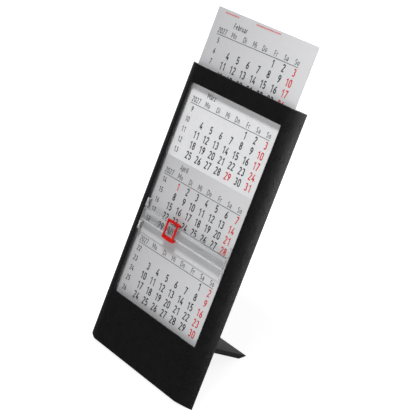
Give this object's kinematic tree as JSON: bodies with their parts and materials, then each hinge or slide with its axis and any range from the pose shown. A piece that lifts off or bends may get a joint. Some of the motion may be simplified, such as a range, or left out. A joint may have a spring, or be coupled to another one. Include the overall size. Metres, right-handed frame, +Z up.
{
  "type": "desk calendar",
  "caption": "Leaning desk calendar frame with slide-in month cards, a clear date slider with a red marker and a fold-up stand leg.",
  "frame": {"origin": "on the ground under the middle of the object's box, calendar standing on its lower rear edge and its leg", "axes": "+Z up, the calendar faces -Y, +X to the right of someone reading it"},
  "size_m": [0.1306, 0.1192, 0.2393],
  "materials": {
    "frame": "fine matte texture, black",
    "cover": "fine matte texture, black",
    "leg": "fine matte texture, black",
    "pin": "drawn wire",
    "clear": "clear, polished",
    "marker": "satin red",
    "card": "matte printed card"
  },
  "bodies": {
    "base": {"front_frame": "frame", "rear_cover": "cover", "hinge_pin": "pin"},
    "leg": {"stand_leg": "leg"},
    "slider": {"slider_bar": "clear"},
    "marker": {"date_marker": "marker"},
    "card_1": {"month_card_1": "card"},
    "card_2": {"month_card_2": "card"},
    "card_3": {"month_card_3": "card"},
    "card_4": {"month_card_4": "card"},
    "card_5": {"month_card_5": "card"},
    "card_6": {"month_card_6": "card"}
  },
  "joints": [
    {"name": "leg_fold", "type": "hinge", "parent": "base", "child": "leg", "pos_m": [0, -0.03485, 0.03016], "axis": [1, 0, 0], "range_deg": [0, 94]},
    {"name": "slider_travel", "type": "slide", "parent": "base", "child": "slider", "axis": [0, 0.4384, 0.8988], "range_m": [-0.04965, 0.09065]},
    {"name": "marker_travel", "type": "slide", "parent": "slider", "child": "marker", "axis": [1, 0, 0], "range_m": [-0.0282, 0.055]},
    {"name": "card_1_slide", "type": "slide", "parent": "base", "child": "card_1", "axis": [0, 0.4384, 0.8988], "range_m": [-0.0538, 0.12]},
    {"name": "card_2_slide", "type": "slide", "parent": "base", "child": "card_2", "axis": [0, 0.4384, 0.8988], "range_m": [0, 0.17]},
    {"name": "card_3_slide", "type": "slide", "parent": "base", "child": "card_3", "axis": [0, 0.4384, 0.8988], "range_m": [0, 0.17]},
    {"name": "card_4_slide", "type": "slide", "parent": "base", "child": "card_4", "axis": [0, 0.4384, 0.8988], "range_m": [0, 0.17]},
    {"name": "card_5_slide", "type": "slide", "parent": "base", "child": "card_5", "axis": [0, 0.4384, 0.8988], "range_m": [0, 0.17]},
    {"name": "card_6_slide", "type": "slide", "parent": "base", "child": "card_6", "axis": [0, 0.4384, 0.8988], "range_m": [0, 0.17]}
  ]
}
